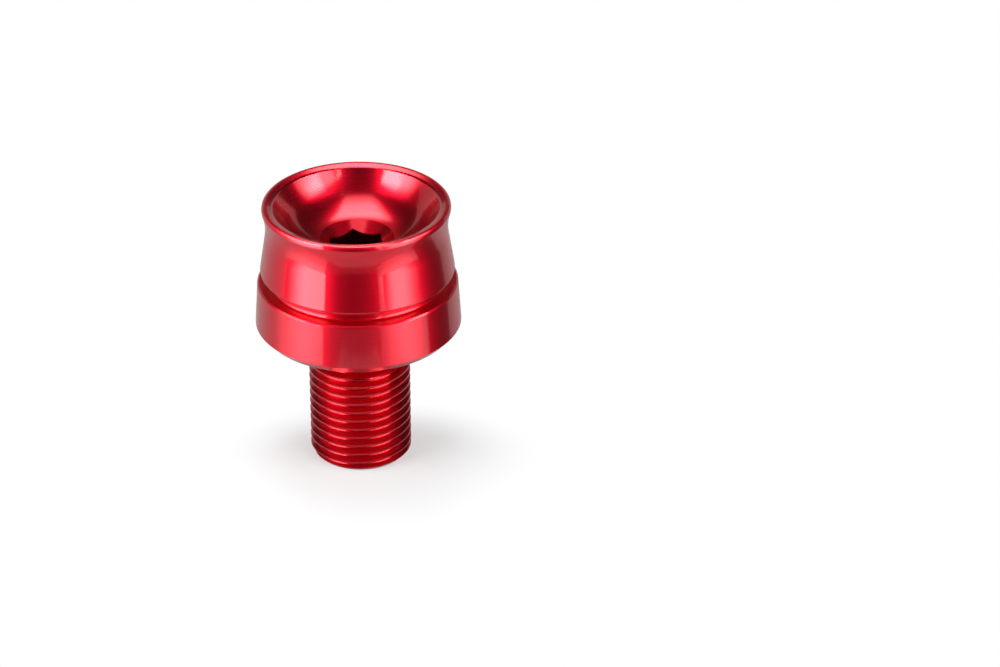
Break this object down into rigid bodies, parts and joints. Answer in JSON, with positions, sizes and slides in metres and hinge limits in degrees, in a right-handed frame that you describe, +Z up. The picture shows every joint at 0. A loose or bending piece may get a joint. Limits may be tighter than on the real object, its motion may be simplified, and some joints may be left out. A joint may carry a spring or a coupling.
{
  "type": "bar end weight",
  "caption": "Turned handlebar end weight with a dished, flared head, a grooved skirt, a hexagon key socket and a threaded stud.",
  "frame": {"origin": "centre of the stud's end face, which the weight stands on", "axes": "+Z up the turning axis, from the stud's end towards the dish; the hexagon's first corner is 37.8 degrees from +X"},
  "size_m": [0.032, 0.032, 0.0434],
  "materials": {
    "anodised_red": "bright anodised, finely turned"
  },
  "bodies": {
    "root": {"bar_end_weight": "anodised_red"}
  },
  "joints": []
}
